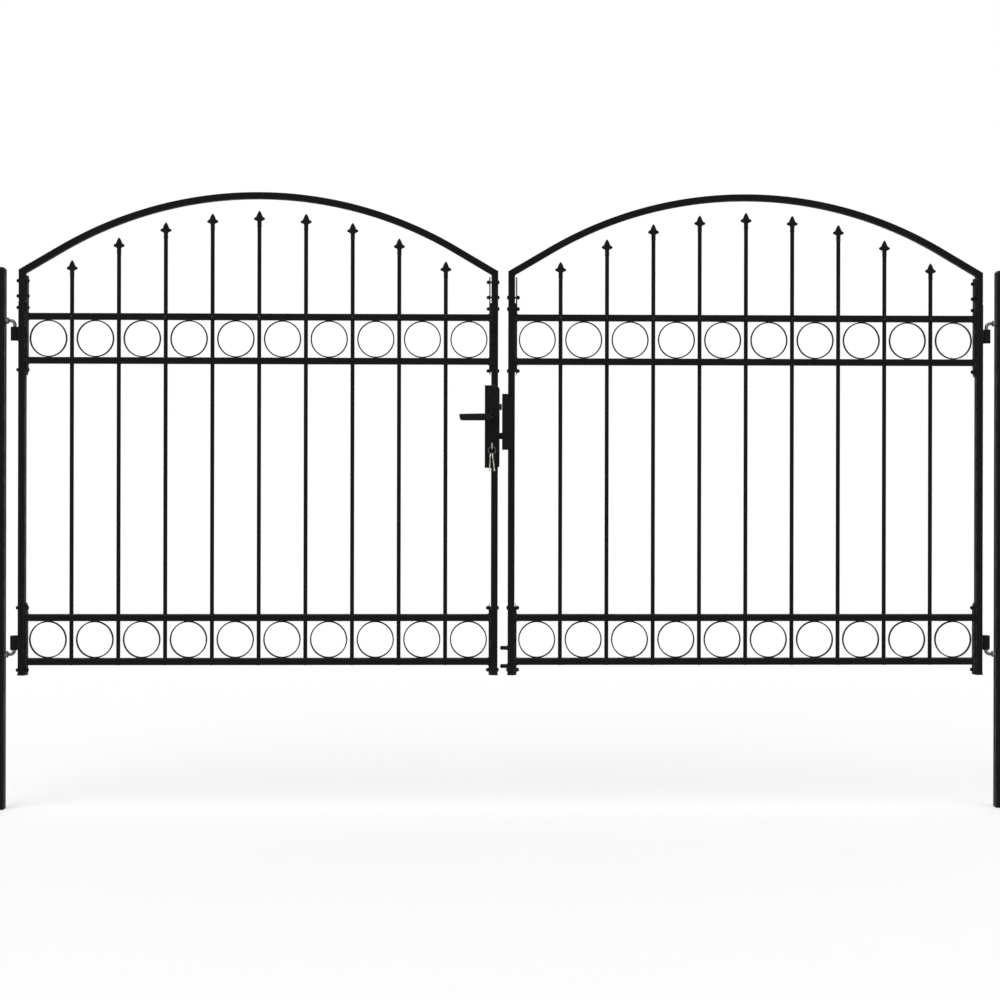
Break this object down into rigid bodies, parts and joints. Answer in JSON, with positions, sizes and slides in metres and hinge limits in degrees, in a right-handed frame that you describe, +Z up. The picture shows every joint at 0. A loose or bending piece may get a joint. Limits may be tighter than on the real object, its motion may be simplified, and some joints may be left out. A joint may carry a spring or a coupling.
{
  "type": "double driveway gate",
  "caption": "Arched double driveway gate of black coated steel tube, with barred leaves, ring friezes and spearheads, hung on two square posts by hook hinges, with a lever lock.",
  "frame": {"origin": "centre of the left post's foot face, which is the lowest face", "axes": "+Z up, +X along the gate to the right as seen from outside, +Y into the property; the outside faces -Y"},
  "size_m": [3.022, 0.1188, 1.8241],
  "materials": {
    "coated_steel": "black powder coat, satin",
    "black_plastic": "moulded, matt",
    "zinc": "zinc plated",
    "black_handle": "black coated, satin",
    "nickel": "nickel plated, fine brushed",
    "black_rubber": "moulded"
  },
  "bodies": {
    "posts": {"left_post": "coated_steel", "right_post": "coated_steel", "left_post_cap": "black_plastic", "right_post_cap": "black_plastic", "left_upper_hook": "zinc", "left_lower_hook": "zinc", "right_upper_hook": "zinc", "right_lower_hook": "zinc", "hinge_nuts": "zinc"},
    "left_leaf": {"left_arch": "coated_steel", "left_hinge_stile": "coated_steel", "left_meeting_stile": "coated_steel", "left_stile_plugs": "black_plastic", "left_upper_band": "coated_steel", "left_lower_band": "coated_steel", "left_upper_rings": "coated_steel", "left_lower_rings": "coated_steel", "left_bars": "coated_steel", "left_spearheads": "coated_steel", "left_hinge_barrels": "coated_steel", "lock_case": "coated_steel", "lock_front_plate": "coated_steel", "lock_back_plate": "coated_steel", "lock_cylinder": "black_handle", "key": "nickel"},
    "right_leaf": {"right_arch": "coated_steel", "right_hinge_stile": "coated_steel", "right_meeting_stile": "coated_steel", "right_stile_plugs": "black_plastic", "right_upper_band": "coated_steel", "right_lower_band": "coated_steel", "right_upper_rings": "coated_steel", "right_lower_rings": "coated_steel", "right_bars": "coated_steel", "right_spearheads": "coated_steel", "right_hinge_barrels": "coated_steel", "keeper": "coated_steel", "keeper_buffer": "black_rubber", "drop_rod_lugs": "coated_steel"},
    "lever": {"front_lever": "black_handle", "back_lever": "black_handle", "lever_spindle": "zinc"},
    "latch": {"latch_tongue": "zinc"},
    "key_bunch": {"key_ring": "nickel", "spare_keys": "nickel"}
  },
  "joints": [
    {"name": "left_leaf_swing", "type": "hinge", "parent": "posts", "child": "left_leaf", "pos_m": [0.0425, 0, 0.947], "axis": [0, 0, 1], "range_deg": [0, 90]},
    {"name": "right_leaf_swing", "type": "hinge", "parent": "posts", "child": "right_leaf", "pos_m": [2.9275, 0, 0.947], "axis": [0, 0, -1], "range_deg": [0, 90]},
    {"name": "lever_turn", "type": "hinge", "parent": "left_leaf", "child": "lever", "pos_m": [1.452, 0, 1.16], "axis": [0, -1, 0], "range_deg": [0, 40], "stiffness_Nm_per_rad": 1.2, "springref_deg": -34.38},
    {"name": "latch_slide", "type": "slide", "parent": "left_leaf", "child": "latch", "axis": [-1, 0, 0], "range_m": [0, 0.011]},
    {"name": "key_bunch_swing", "type": "hinge", "parent": "left_leaf", "child": "key_bunch", "pos_m": [1.452, -0.0398, 1.0731], "axis": [-1, 0, 0], "range_deg": [-10, 70]}
  ],
  "couplings": [
    {"joint": "latch_slide", "follows": "lever_turn", "m_per_rad": 0.015613}
  ]
}
